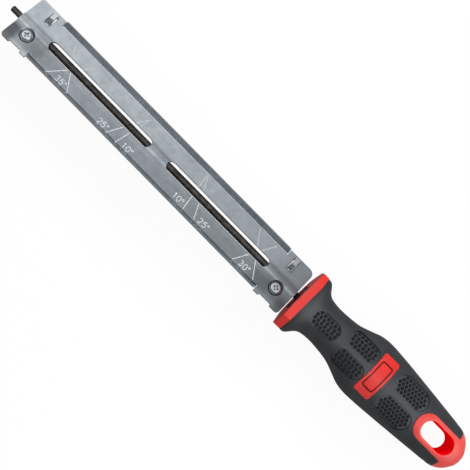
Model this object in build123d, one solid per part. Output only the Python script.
from build123d import *
import math
import os

# A chainsaw file guide: a round file clamped under a pressed steel guide plate, with a two-colour handle.
# The file's axis is the X axis. X = 0 is where the nose's cylinder begins, and +X runs to the handle.
# +Z is up out of the handle's badge. The guide plate is turned about the file, as its clamps allow.

# Round file
FILE_RADIUS = 2.0
NOSE_RADIUS = 1.7
NOSE_LENGTH = 6.2
NOSE_CHAMFER = 0.3
NOSE_CONE_LENGTH = 0.8
CUT_LENGTH = 200.0
NECK_RADIUS = 1.85
NECK_LENGTH = 9.0
TANG_LENGTH = 40.0
TANG_ROOT_WIDTH = 2.5
TANG_TIP_WIDTH = 1.3

# Guide plate
PLATE_NOSE_LAP = 0.3
PLATE_HANDLE_LAP = 4.2
PLATE_THICKNESS = 1.2
PLATE_HALF_WIDTH = 15.25
PLATE_UNDERSIDE_HEIGHT = 1.2
PLATE_TURN = -16.0
CORNER_RADIUS = 1.8
HOOK_CORNER_RADIUS = 3.4
RIDGE_HALF_WIDTH = 4.2
RIDGE_FILE_GAP = 0.05
BEND_START = 11.8
BEND_RADIUS = 0.8
BEND_ANGLE = 55.0
FLANGE_LENGTH = 2.9
FLANGE_END_INSET = 17.9
FLANGE_CORNER_RADIUS = 1.4
RELIEF_WIDTH = 0.4
NOTCH_LENGTH = 8.2
NOTCH_DEPTH = 1.15
NOTCH_ROUNDING = 0.8
VIEW_SLOT_INSET = 20.9
VIEW_SLOT_WIDTH = 6.1
VIEW_SLOT_BRIDGE = 12.7

# File clamps
CLAMP_SCREW_INSET = 9.8
CLAMP_SCREW_OFFSET = 5.9
HOOK_INSET = 11.5
HOOK_SLOT_INNER = 6.1
HOOK_SLOT_OUTER = 12.6
HOOK_SLOT_WIDTH = 3.9
DIMPLE_RIM_RADIUS = 4.3
DIMPLE_FLOOR_RADIUS = 3.3
DIMPLE_DEPTH = 0.9
DIMPLE_BOSS_RADIUS = 3.8
STRAP_THICKNESS = 1.2
STRAP_WIDTH = 9.0
STRAP_PAD_OVERHANG = 3.4
STRAP_FILE_GAP = 0.05
SADDLE_HALF_ANGLE = 55.0
STRAP_PAD_GAP = 0.5
STRAP_PLATE_GAP = 0.3
TONGUE_WIDTH = 2.6
TONGUE_SIDE_GAP = 0.15
ARM_WIDTH = 1.3
ARM_OVERRUN = 0.6
TONGUE_RISE_START = 7.2
TONGUE_RISE_ANGLE = 45.0
TONGUE_PLATE_GAP = 0.05
TONGUE_TIP_OVERHANG = 1.6
SCREW_RADIUS = 1.5
SCREW_HOLE_GAP = 0.1
STRAP_HOLE_GAP = 0.45
SCREW_END_STAND_OUT = 0.5
SCREW_HEAD_RADIUS = 2.8
SCREW_HEAD_HEIGHT = 2.0
SCREW_HEAD_ROUNDING = 0.8
SCREW_CROSS_LENGTH = 3.2
SCREW_CROSS_WIDTH = 0.8
SCREW_CROSS_DEPTH = 1.3
NUT_FLATS = 5.5
NUT_HEIGHT = 2.4
NUT_THREAD_GAP = 0.05

# Handle
HANDLE_GAP = 1.9
HANDLE_LENGTH = 120.6
HANDLE_HALF_WIDTH = 18.0
HANDLE_HALF_HEIGHT = 12.9
COLLAR_LENGTH = 4.65
COLLAR_PROUD = 0.4
COLLAR_TOP_INSET = 0.2
COLLAR_CHAMFER_WIDTH = 6.8
COLLAR_CHAMFER_HEIGHT = 7.2
COLLAR_CROWN_RADIUS = 200.0
COLLAR_ROUNDING = 0.9
GRIP_WALL = 3.0
GRIP_END_INSET = 9.1
PAD_DEPTH = 0.7
BADGE_PROUD = 0.3
BADGE_MIDDLE_SHARE = 0.472
BADGE_LENGTH = 10.0
BADGE_HALF_WIDTH = 12.4
BADGE_CORNER_RADIUS = 1.2
BADGE_PANEL_LENGTH = 7.2
BADGE_PANEL_HALF_WIDTH = 8.3
BADGE_PANEL_GROOVE = 0.6
BADGE_PANEL_DEPTH = 0.8
EYELET_LENGTH = 33.8
EYELET_HALF_WIDTH = 7.85
EYELET_PROUD = 0.35
HANG_HOLE_LENGTH = 20.3
HANG_HOLE_HALF_WIDTH = 5.3
HANG_HOLE_END_INSET = 9.0
MOUTH_WIDTH = 15.7
MOUTH_HEIGHT = 14.0
MOUTH_DEPTH = 0.5
MOUTH_CORNER_RADIUS = 2.0
SOCKET_FLANGE = 2.0
SOCKET_WIDTH = 10.0
SOCKET_HEIGHT = 8.0
SOCKET_LENGTH = 46.0
TANG_GAP = 0.05
CUT_OVERRUN = 1.0

# The handle's outline: place along its length, half width and half height, each as a share
HANDLE_OUTLINE_SHARES = (
    (0.000, 1.030, 0.975),
    (0.050, 1.012, 0.960),
    (0.068, 0.985, 0.940),
    (0.095, 0.765, 0.855),
    (0.116, 0.690, 0.800),
    (0.150, 0.652, 0.755),
    (0.195, 0.650, 0.740),
    (0.278, 0.711, 0.800),
    (0.342, 0.853, 0.920),
    (0.380, 0.950, 0.970),
    (0.428, 1.000, 1.000),
    (0.504, 0.982, 1.000),
    (0.605, 0.925, 0.965),
    (0.721, 0.850, 0.890),
    (0.817, 0.785, 0.820),
    (0.912, 0.721, 0.745),
    (1.000, 0.660, 0.670),
)
HANDLE_SECTIONS = 40
# The round end's radius, as a share of the handle's half width
ROUND_END_SHARE = 0.728
# How much of each section's half height its side arcs take
SIDE_ARC_SHARE = 0.78
# Grip pads: start along the handle, length, middle and half width across it, in shares of handle length and
# half width. Each is on both faces of the handle.
PAD_SHARES = (
    (0.096, 0.145, 0.000, 0.275),
    (0.268, 0.158, 0.342, 0.267),
    (0.268, 0.158, -0.342, 0.267),
    (0.540, 0.181, 0.392, 0.319),
    (0.540, 0.181, -0.392, 0.319),
)

# Places that follow from the sizes
cut_start = NOSE_LENGTH + NOSE_CONE_LENGTH
cut_end = cut_start + CUT_LENGTH
plate_start = cut_start - PLATE_NOSE_LAP
plate_end = cut_end + PLATE_HANDLE_LAP
plate_length = plate_end - plate_start
plate_middle = (plate_start + plate_end) / 2
view_slot_length = (plate_length - VIEW_SLOT_BRIDGE) / 2 - VIEW_SLOT_INSET
flange_lip_start = BEND_START + PLATE_THICKNESS + BEND_RADIUS + BEND_RADIUS / 2
plate_top = PLATE_UNDERSIDE_HEIGHT + PLATE_THICKNESS
ridge_rise = FILE_RADIUS + RIDGE_FILE_GAP - PLATE_UNDERSIDE_HEIGHT
dimple_floor = plate_top - DIMPLE_DEPTH
dimple_underside = PLATE_UNDERSIDE_HEIGHT - DIMPLE_DEPTH
pad_top = dimple_underside - STRAP_PAD_GAP
pad_bottom = pad_top - STRAP_THICKNESS
nut_bottom = pad_bottom - NUT_HEIGHT
neck_end = cut_end + NECK_LENGTH
tang_end = neck_end + TANG_LENGTH
handle_start = plate_end + HANDLE_GAP
handle_end = handle_start + HANDLE_LENGTH
grip_start = handle_start + COLLAR_LENGTH
grip_end = handle_end - GRIP_END_INSET
round_end_radius = HANDLE_HALF_WIDTH * ROUND_END_SHARE
round_end_middle = handle_end - round_end_radius
collar_half_width = HANDLE_HALF_WIDTH + COLLAR_PROUD
collar_half_height = HANDLE_HALF_HEIGHT - COLLAR_TOP_INSET
socket_start = handle_start + MOUTH_DEPTH
socket_end = socket_start + SOCKET_LENGTH
badge_middle = handle_start + HANDLE_LENGTH * BADGE_MIDDLE_SHARE
core_cover = HANDLE_HALF_HEIGHT + CUT_OVERRUN


def across(x):
    """A plane square to the file at x, on which a sketch's X is the part's Y and its Y the part's Z."""
    return Plane(origin=(x, 0, 0), x_dir=(0, 1, 0), z_dir=(1, 0, 0))


def along_file(section, x_from, x_to):
    """A prism along the file's axis with the given section."""
    return extrude(across(x_from) * section, x_to - x_from, dir=(1, 0, 0))


def bar(x_from, x_to, y_from, y_to, z_from, z_to):
    """A square-cornered block between two corners."""
    middle = ((x_from + x_to) / 2, (y_from + y_to) / 2, (z_from + z_to) / 2)
    return Pos(middle) * Box(x_to - x_from, y_to - y_from, z_to - z_from)


def obround(x_from, x_to, y_middle, half_width, z_from, z_to):
    """A prism with round ends along X."""
    shape = Pos((x_from + x_to) / 2, y_middle) * SlotOverall(x_to - x_from, half_width + half_width)
    return extrude(Plane.XY.offset(z_from) * shape, z_to - z_from)


# The round file


def square_taper(x_from, x_to, width_from, width_to):
    """A square spike, as the tang and its bore are."""
    root = across(x_from) * Rectangle(width_from, width_from)
    tip = across(x_to) * Rectangle(width_to, width_to)
    return loft([root, tip], ruled=True)


def rod(x_from, x_to, radius):
    """A round bar along the file's axis."""
    return along_file(Circle(radius), x_from, x_to)


def cone(x_from, x_to, radius_from, radius_to):
    """A round bar along the file's axis that changes its radius."""
    return loft([across(x_from) * Circle(radius_from), across(x_to) * Circle(radius_to)], ruled=True)


def round_file():
    chamfered_tip = cone(-NOSE_CHAMFER, 0, NOSE_RADIUS - NOSE_CHAMFER, NOSE_RADIUS)
    nose = rod(0, NOSE_LENGTH, NOSE_RADIUS)
    nose_cone = cone(NOSE_LENGTH, cut_start, NOSE_RADIUS, FILE_RADIUS)
    cut_body = rod(cut_start, cut_end, FILE_RADIUS)
    neck = rod(cut_end, neck_end, NECK_RADIUS)
    tang = square_taper(neck_end, tang_end, TANG_ROOT_WIDTH, TANG_TIP_WIDTH)
    return chamfered_tip + nose + nose_cone + cut_body + neck + tang


# The guide plate, level; turn_guide turns it about the file


def turn_guide(shape):
    return Rot(PLATE_TURN, 0, 0) * shape


def ridge_line(foot_height):
    """The shallow ridge over the file, from its left foot to its right one: four equal tangent arcs."""
    run, climb = RIDGE_HALF_WIDTH / 2, ridge_rise / 2
    radius = (run * run + climb * climb) / (2 * climb)
    turn = math.atan2(climb, run)
    mid_run, mid_climb = radius * math.sin(turn), radius * (1 - math.cos(turn))
    crest_height = foot_height + ridge_rise
    arcs = []
    for side in (-1, 1):
        foot = (side * RIDGE_HALF_WIDTH, foot_height)
        foot_mid = (side * (RIDGE_HALF_WIDTH - mid_run), foot_height + mid_climb)
        join = (side * run, foot_height + climb)
        crest_mid = (side * mid_run, crest_height - mid_climb)
        arcs.append(ThreePointArc(foot, foot_mid, join))
        arcs.append(ThreePointArc(join, crest_mid, (0, crest_height)))
    return arcs


def sheet_section():
    """The flat blank's section, with the ridge pressed up over the file."""
    edge = PLATE_HALF_WIDTH
    low, high = PLATE_UNDERSIDE_HEIGHT, plate_top
    sides = [
        Line((RIDGE_HALF_WIDTH, low), (edge, low)),
        Line((edge, low), (edge, high)),
        Line((edge, high), (RIDGE_HALF_WIDTH, high)),
        Line((-RIDGE_HALF_WIDTH, high), (-edge, high)),
        Line((-edge, high), (-edge, low)),
        Line((-edge, low), (-RIDGE_HALF_WIDTH, low)),
    ]
    return make_face(sides + ridge_line(low) + ridge_line(high))


def flange_section():
    """One turned-up edge's section: the bend, then the flat part that leans out."""
    lean = math.radians(BEND_ANGLE)
    along = Vector(math.cos(lean), math.sin(lean)) * FLANGE_LENGTH
    outward = Vector(math.sin(lean), -math.cos(lean))
    centre = Vector(BEND_START, plate_top + BEND_RADIUS)
    inner_start = Vector(BEND_START, plate_top)
    outer_start = Vector(BEND_START, PLATE_UNDERSIDE_HEIGHT)
    inner_end = centre + outward * BEND_RADIUS
    outer_end = centre + outward * (BEND_RADIUS + PLATE_THICKNESS)
    inner_lip = inner_end + along
    outer_lip = outer_end + along
    return make_face([
        TangentArc(inner_start, inner_end, tangent=(1, 0)),
        Line(inner_end, inner_lip),
        Line(inner_lip, outer_lip),
        Line(outer_lip, outer_end),
        TangentArc(outer_start, outer_end, tangent=(1, 0)),
        Line(outer_start, inner_start),
    ])


def flange(side):
    """The turned-up edge on the +Y side (side 1) or the -Y side (side -1), with rounded top corners."""
    start = plate_start + FLANGE_END_INSET
    strip = along_file(flange_section(), start, plate_end - FLANGE_END_INSET)
    corner_edges = strip.edges().filter_by(
        lambda edge: edge.length < FLANGE_LENGTH and edge.center().Y > flange_lip_start
    )
    strip = fillet(corner_edges, FLANGE_CORNER_RADIUS)
    return strip if side > 0 else mirror(strip, about=Plane.XZ)


def blank():
    """The flat blank with its ridge, its four round corners and a notch beside each screw."""
    outline = Pos(plate_middle, 0) * Rectangle(plate_length, PLATE_HALF_WIDTH * 2)
    last_corner = outline.vertices().filter_by(lambda corner: corner.X > plate_middle and corner.Y > 0)
    outline = fillet(last_corner, HOOK_CORNER_RADIUS)
    corners = outline.vertices().filter_by(lambda corner: corner.X < plate_middle or corner.Y < 0)
    outline = fillet(corners, CORNER_RADIUS)
    for name, screw_x, hook_x in clamp_places():
        notch = RectangleRounded(NOTCH_LENGTH, NOTCH_DEPTH * 2, NOTCH_ROUNDING)
        outline = outline - Pos(screw_x, -PLATE_HALF_WIDTH) * notch
    sheet = along_file(sheet_section(), plate_start, plate_end)
    return sheet & extrude(outline, plate_top + ridge_rise + CUT_OVERRUN)


def clamp_places():
    """Each clamp's name, and the X of its screw and of its hook."""
    return (
        ("front", plate_start + CLAMP_SCREW_INSET, plate_start + HOOK_INSET),
        ("rear", plate_end - CLAMP_SCREW_INSET, plate_end - HOOK_INSET),
    )


def upright(x, radius, z_from, z_to):
    """A round bar at a clamp screw's place, square to the plate."""
    return Pos(x, -CLAMP_SCREW_OFFSET, z_from) * extrude(Circle(radius), z_to - z_from)


def dimple_cut(x):
    """The funnel that the screw's head sits in."""
    rim = Plane(origin=(x, -CLAMP_SCREW_OFFSET, plate_top)) * Circle(DIMPLE_RIM_RADIUS)
    floor = Plane(origin=(x, -CLAMP_SCREW_OFFSET, dimple_floor)) * Circle(DIMPLE_FLOOR_RADIUS)
    above = upright(x, DIMPLE_RIM_RADIUS, plate_top, plate_top + ridge_rise + CUT_OVERRUN)
    return loft([floor, rim], ruled=True) + above


def hook_slot(x):
    """The slot that the strap's tongue comes up through: round towards the file, square at the hook."""
    half = HOOK_SLOT_WIDTH / 2
    round_middle = HOOK_SLOT_INNER + half
    low, high = PLATE_UNDERSIDE_HEIGHT - CUT_OVERRUN, plate_top + CUT_OVERRUN
    square = bar(x - half, x + half, round_middle, HOOK_SLOT_OUTER, low, high)
    return square + Pos(x, round_middle, low) * extrude(Circle(half), high - low)


def guide_plate():
    low, high = PLATE_UNDERSIDE_HEIGHT - CUT_OVERRUN, plate_top + ridge_rise + CUT_OVERRUN
    plate = blank()
    trim_start = plate_start + FLANGE_END_INSET - RELIEF_WIDTH
    trim_end = plate_end - FLANGE_END_INSET + RELIEF_WIDTH
    edge = PLATE_HALF_WIDTH + CUT_OVERRUN
    for side in (1, -1):
        near, far = sorted((side * BEND_START, side * edge))
        plate = plate - bar(trim_start, trim_end, near, far, low, high) + flange(side)
    for start in (plate_start + VIEW_SLOT_INSET, plate_middle + VIEW_SLOT_BRIDGE / 2):
        plate = plate - obround(start, start + view_slot_length, 0, VIEW_SLOT_WIDTH / 2, low, high)
    for name, screw_x, hook_x in clamp_places():
        plate = plate + upright(screw_x, DIMPLE_BOSS_RADIUS, dimple_underside, plate_top)
        plate = plate - dimple_cut(screw_x) - hook_slot(hook_x)
        plate = plate - upright(screw_x, SCREW_RADIUS + SCREW_HOLE_GAP, dimple_underside - CUT_OVERRUN, high)
    return turn_guide(plate)


# The file clamps


def strap_section():
    """The strap's bends, seen along the file: pad, saddle under the file, run under the plate, tongue."""
    opening = math.radians(SADDLE_HALF_ANGLE)
    inner = FILE_RADIUS + STRAP_FILE_GAP
    outer = inner + STRAP_THICKNESS
    lip = Vector(inner * math.sin(opening), -inner * math.cos(opening))
    rise = Vector(math.cos(opening), math.sin(opening))
    run_top = PLATE_UNDERSIDE_HEIGHT - STRAP_PLATE_GAP
    run_bottom = run_top - STRAP_THICKNESS
    tongue_bottom = plate_top + TONGUE_PLATE_GAP
    tongue_top = tongue_bottom + STRAP_THICKNESS
    tongue_tip = HOOK_SLOT_OUTER + TONGUE_TIP_OVERHANG
    slope = math.tan(math.radians(TONGUE_RISE_ANGLE))
    corner_shift = STRAP_THICKNESS * math.tan(math.radians(TONGUE_RISE_ANGLE / 2))
    pad_end = -CLAMP_SCREW_OFFSET - STRAP_PAD_OVERHANG
    pad_start = -(lip.X + (pad_top - lip.Y) * rise.X / rise.Y)
    run_start = lip.X + (run_top - lip.Y) * rise.X / rise.Y
    pad_root = -math.sqrt(outer * outer - pad_bottom * pad_bottom)
    run_lip = Vector(outer * math.sin(opening), -outer * math.cos(opening))
    run_root = run_lip.X + (run_bottom - run_lip.Y) * rise.X / rise.Y
    rise_end = TONGUE_RISE_START + (tongue_top - run_top) / slope
    under_start = TONGUE_RISE_START + corner_shift
    under_end = under_start + (tongue_bottom - run_bottom) / slope
    return make_face([
        Line((pad_end, pad_top), (pad_start, pad_top)),
        Line((pad_start, pad_top), (-lip.X, lip.Y)),
        ThreePointArc((-lip.X, lip.Y), (0, -inner), lip),
        Line(lip, (run_start, run_top)),
        Line((run_start, run_top), (TONGUE_RISE_START, run_top)),
        Line((TONGUE_RISE_START, run_top), (rise_end, tongue_top)),
        Line((rise_end, tongue_top), (tongue_tip, tongue_top)),
        Line((tongue_tip, tongue_top), (tongue_tip, tongue_bottom)),
        Line((tongue_tip, tongue_bottom), (under_end, tongue_bottom)),
        Line((under_end, tongue_bottom), (under_start, run_bottom)),
        Line((under_start, run_bottom), (run_root, run_bottom)),
        Line((run_root, run_bottom), run_lip),
        ThreePointArc(run_lip, (0, -outer), (pad_root, pad_bottom)),
        Line((pad_root, pad_bottom), (pad_end, pad_bottom)),
        Line((pad_end, pad_bottom), (pad_end, pad_top)),
    ])


def clamp_strap(screw_x, hook_x):
    """The strap, whose tongue is cut free and bent up between two arms that run on under the plate."""
    half = STRAP_WIDTH / 2
    tongue_half = TONGUE_WIDTH / 2
    strap = along_file(strap_section(), screw_x - half, screw_x + half)
    top = plate_top + STRAP_THICKNESS + CUT_OVERRUN
    reach = HOOK_SLOT_OUTER + TONGUE_TIP_OVERHANG + CUT_OVERRUN
    narrow_from = TONGUE_RISE_START - STRAP_THICKNESS / 2
    left = bar(screw_x - STRAP_WIDTH, hook_x - tongue_half, narrow_from, reach, nut_bottom, top)
    right = bar(hook_x + tongue_half, screw_x + STRAP_WIDTH, narrow_from, reach, nut_bottom, top)
    hole = upright(screw_x, SCREW_RADIUS + STRAP_HOLE_GAP, nut_bottom, plate_top)
    strap = strap - left - right - hole
    arm_top = PLATE_UNDERSIDE_HEIGHT - STRAP_PLATE_GAP
    arm_root, arm_end = narrow_from - STRAP_THICKNESS / 2, HOOK_SLOT_OUTER + ARM_OVERRUN
    arm_inner = tongue_half + TONGUE_SIDE_GAP
    arm_outer = arm_inner + ARM_WIDTH
    for near, far in ((hook_x - arm_outer, hook_x - arm_inner), (hook_x + arm_inner, hook_x + arm_outer)):
        strap = strap + bar(near, far, arm_root, arm_end, arm_top - STRAP_THICKNESS, arm_top)
    return turn_guide(strap)


def clamp_screw(screw_x):
    """A pan head screw with a cross recess; its thread is a plain shank."""
    head = upright(screw_x, SCREW_HEAD_RADIUS, dimple_floor, dimple_floor + SCREW_HEAD_HEIGHT)
    crown = head.edges().sort_by(Axis.Z)[-1]
    head = fillet(crown, SCREW_HEAD_ROUNDING)
    shank = upright(screw_x, SCREW_RADIUS, nut_bottom - SCREW_END_STAND_OUT, dimple_floor)
    head_top = dimple_floor + SCREW_HEAD_HEIGHT
    long_half, short_half = SCREW_CROSS_LENGTH / 2, SCREW_CROSS_WIDTH / 2
    screw = head + shank
    for half_x, half_y in ((long_half, short_half), (short_half, long_half)):
        screw = screw - bar(screw_x - half_x, screw_x + half_x, -CLAMP_SCREW_OFFSET - half_y,
                            -CLAMP_SCREW_OFFSET + half_y, head_top - SCREW_CROSS_DEPTH, head_top)
    return turn_guide(screw)


def clamp_nut(screw_x):
    """A hexagon nut under the strap's pad; its thread is a plain bore."""
    outline = RegularPolygon(NUT_FLATS / 2, 6, major_radius=False)
    nut = Pos(screw_x, -CLAMP_SCREW_OFFSET, nut_bottom) * extrude(outline, NUT_HEIGHT)
    bore = upright(screw_x, SCREW_RADIUS + NUT_THREAD_GAP, nut_bottom - CUT_OVERRUN, pad_bottom + CUT_OVERRUN)
    return turn_guide(nut - bore)


# The handle


def oval(half_width, half_height):
    """A four-arc oval: flat-looking arcs above and below, tight arcs at the sides."""
    side = half_height * SIDE_ARC_SHARE
    reach = half_width - side
    top = (reach * reach + half_height * half_height - side * side) / (2 * (half_height - side))
    toward_join = Vector(reach, top - half_height).normalized() * side
    join = Vector(reach + toward_join.X, toward_join.Y)
    right = ThreePointArc((join.X, -join.Y), (half_width, 0), (join.X, join.Y))
    upper = ThreePointArc((join.X, join.Y), (0, half_height), (-join.X, join.Y))
    left = ThreePointArc((-join.X, join.Y), (-half_width, 0), (-join.X, -join.Y))
    lower = ThreePointArc((-join.X, -join.Y), (0, -half_height), (join.X, -join.Y))
    return make_face([right, upper, left, lower])


def outline_at(along, column):
    """The handle's half width or half height share, on a smooth line through the table's points."""
    places = [row[0] for row in HANDLE_OUTLINE_SHARES]
    values = [row[column] for row in HANDLE_OUTLINE_SHARES]
    slopes = []
    for i in range(len(places)):
        before, after = max(i - 1, 0), min(i + 1, len(places) - 1)
        slopes.append((values[after] - values[before]) / (places[after] - places[before]))
    low = max(i for i in range(len(places) - 1) if places[i] <= along)
    gap = places[low + 1] - places[low]
    t = (along - places[low]) / gap
    rise = values[low + 1] - values[low]
    bend_low = slopes[low] * gap - rise
    bend_high = rise - slopes[low + 1] * gap
    return values[low] + t * rise + t * (1 - t) * ((1 - t) * bend_low + t * bend_high)


def handle_section(x, grow):
    along = (x - handle_start) / HANDLE_LENGTH
    half_width = HANDLE_HALF_WIDTH * outline_at(along, 1) + grow
    half_height = HANDLE_HALF_HEIGHT * outline_at(along, 2) + grow
    return oval(half_width, half_height)


def handle_form(grow):
    """The handle's outer form, larger by grow on every side, from inside the collar to its round end."""
    first = handle_start + COLLAR_LENGTH / 2
    end_share = (round_end_middle - handle_start) / HANDLE_LENGTH
    end_height = HANDLE_HALF_HEIGHT * outline_at(end_share, 2) + grow
    end_section = oval(round_end_radius + grow, end_height)
    sections = []
    for i in range(HANDLE_SECTIONS - 1):
        x = first + (round_end_middle - first) * i / (HANDLE_SECTIONS - 1)
        sections.append(across(x) * handle_section(x, grow))
    body = loft(sections + [across(round_end_middle) * end_section])
    left_half = Pos(-core_cover, 0) * Rectangle(core_cover * 2, core_cover * 2)
    end_axis = Axis((round_end_middle, 0, 0), (0, 0, 1))
    return body + revolve(across(round_end_middle) * (end_section & left_half), end_axis, 180)


def handle_stretch(x_from, x_to):
    """A block that holds all of the handle between two places."""
    spread = HANDLE_HALF_WIDTH + CUT_OVERRUN
    return bar(x_from, x_to, -spread, spread, -core_cover, core_cover)


def hang_hole():
    end = handle_end - HANG_HOLE_END_INSET
    return obround(end - HANG_HOLE_LENGTH, end, 0, HANG_HOLE_HALF_WIDTH, -core_cover, core_cover)


def eyelet_prism():
    """The eyelet's outline, up through the handle; it runs on into the round end."""
    return obround(handle_end - EYELET_LENGTH, handle_end, 0, EYELET_HALF_WIDTH, -core_cover, core_cover)


def badge_prism():
    half = BADGE_LENGTH / 2
    block = bar(badge_middle - half, badge_middle + half, -BADGE_HALF_WIDTH, BADGE_HALF_WIDTH,
                -core_cover, core_cover)
    return fillet(block.edges().filter_by(Axis.Z), BADGE_CORNER_RADIUS)


def badge_groove():
    """The narrow groove that frames the badge's bare panel."""
    outer = RectangleRounded(BADGE_PANEL_LENGTH, BADGE_PANEL_HALF_WIDTH * 2, BADGE_CORNER_RADIUS)
    inner = RectangleRounded(
        BADGE_PANEL_LENGTH - BADGE_PANEL_GROOVE * 2,
        (BADGE_PANEL_HALF_WIDTH - BADGE_PANEL_GROOVE) * 2,
        BADGE_CORNER_RADIUS - BADGE_PANEL_GROOVE,
    )
    ring = Plane.XY.offset(-core_cover) * (Pos(badge_middle, 0) * (outer - inner))
    return extrude(ring, core_cover * 2) - handle_form(BADGE_PROUD - BADGE_PANEL_DEPTH)


def collar():
    """The eight-sided collar with its slightly crowned front."""
    wide, high = collar_half_width, collar_half_height
    flat, side = wide - COLLAR_CHAMFER_WIDTH, high - COLLAR_CHAMFER_HEIGHT
    corners = [(wide, -side), (wide, side), (flat, high), (-flat, high),
               (-wide, side), (-wide, -side), (-flat, -high), (flat, -high)]
    outline = make_face(Polyline(*corners, close=True))
    outline = fillet(outline.vertices(), COLLAR_ROUNDING)
    block = along_file(outline, handle_start, handle_start + COLLAR_LENGTH)
    crown_middle = handle_start + COLLAR_CROWN_RADIUS
    crown = Pos(crown_middle, 0, -core_cover) * extrude(Circle(COLLAR_CROWN_RADIUS), core_cover * 2)
    return block & crown


def mouth(x_from, x_to):
    """The collar's mouth, which the socket's flange fills at the back."""
    outline = RectangleRounded(MOUTH_WIDTH, MOUTH_HEIGHT, MOUTH_CORNER_RADIUS)
    return along_file(outline, x_from, x_to)


def socket_stem(x_from, x_to):
    return along_file(Rectangle(SOCKET_WIDTH, SOCKET_HEIGHT), x_from, x_to)


def tang_bore():
    """The bore that holds the neck and the tang, larger than them by the tang gap."""
    neck = rod(handle_start, neck_end, NECK_RADIUS + TANG_GAP)
    taper = square_taper(neck_end, tang_end + CUT_OVERRUN, TANG_ROOT_WIDTH + TANG_GAP * 2,
                         TANG_TIP_WIDTH + TANG_GAP * 2)
    return neck + taper


def tang_socket():
    flange_end = socket_start + SOCKET_FLANGE
    return mouth(socket_start, flange_end) + socket_stem(flange_end, socket_end) - tang_bore()


def handle_core():
    flange_end = socket_start + SOCKET_FLANGE
    pocket = mouth(handle_start - CUT_OVERRUN, flange_end) + socket_stem(flange_end - CUT_OVERRUN, socket_end)
    inside = handle_form(-GRIP_WALL) & handle_stretch(grip_start - CUT_OVERRUN, handle_end)
    end_cap = handle_form(0) & handle_stretch(grip_end, handle_end + CUT_OVERRUN)
    badge = handle_form(BADGE_PROUD) & badge_prism()
    eyelet = handle_form(EYELET_PROUD) & eyelet_prism()
    core = collar() + inside - pocket + end_cap + badge + eyelet
    return core - hang_hole() - badge_groove()


def pad_cuts():
    """The ten shallow pads: five prisms through the handle, cut back to a skin."""
    prisms = None
    for start, length, middle, half in PAD_SHARES:
        x_from = handle_start + HANDLE_LENGTH * start
        prism = obround(x_from, x_from + HANDLE_LENGTH * length, HANDLE_HALF_WIDTH * middle,
                        HANDLE_HALF_WIDTH * half, -core_cover, core_cover)
        prisms = prism if prisms is None else prisms + prism
    return prisms - handle_form(-PAD_DEPTH)


def handle_grip():
    skin = handle_form(0) & handle_stretch(grip_start, grip_end)
    return skin - pad_cuts() - (badge_prism() + eyelet_prism()) - handle_form(-GRIP_WALL)


def write_parts():
    nodes = {
        "round_file": round_file(),
        "guide_plate": guide_plate(),
        "tang_socket": tang_socket(),
        "handle_core": handle_core(),
        "handle_grip": handle_grip(),
    }
    for name, screw_x, hook_x in clamp_places():
        nodes[name + "_clamp_strap"] = clamp_strap(screw_x, hook_x)
        nodes[name + "_clamp_screw"] = clamp_screw(screw_x)
        nodes[name + "_clamp_nut"] = clamp_nut(screw_x)
    os.makedirs("parts", exist_ok=True)
    for name, shape in nodes.items():
        export_step(shape, os.path.join("parts", name + ".step"))
        print(name, round(shape.volume))


write_parts()
